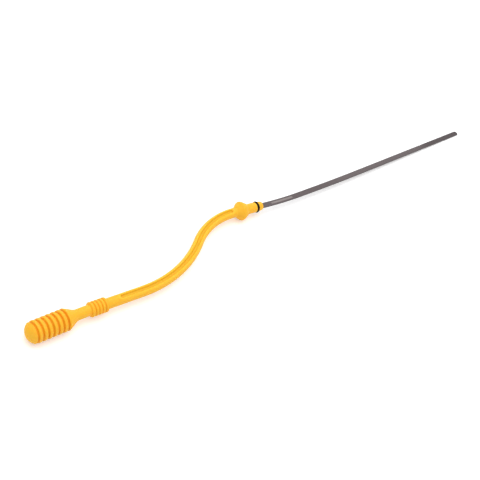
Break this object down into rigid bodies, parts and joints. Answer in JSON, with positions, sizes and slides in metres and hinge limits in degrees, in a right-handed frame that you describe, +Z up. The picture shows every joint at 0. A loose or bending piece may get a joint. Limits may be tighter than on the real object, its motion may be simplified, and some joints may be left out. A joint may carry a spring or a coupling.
{
  "type": "engine oil dipstick",
  "caption": "Engine oil dipstick: ribbed moulded grip on an S-bent fluted stem, a coned stop collar, a sealing ring on the neck, and a long flat steel blade notched at the oil levels.",
  "frame": {"origin": "centre of the stop face, the flat ring at the front of the stop collar that seats on the mouth of the oil tube", "axes": "+X out of the stop face and down the oil tube; +Z up as the dipstick lies at rest; the bends of the stem lie in the XY plane"},
  "size_m": [0.5805, 0.1054, 0.0182],
  "materials": {
    "handle_plastic": "satin moulded plastic, yellow-orange",
    "ring_rubber": "black moulded rubber",
    "blade_steel": "dark grey satin spring steel"
  },
  "bodies": {
    "root": {"handle": "handle_plastic", "o_ring": "ring_rubber", "blade": "blade_steel"}
  },
  "joints": []
}
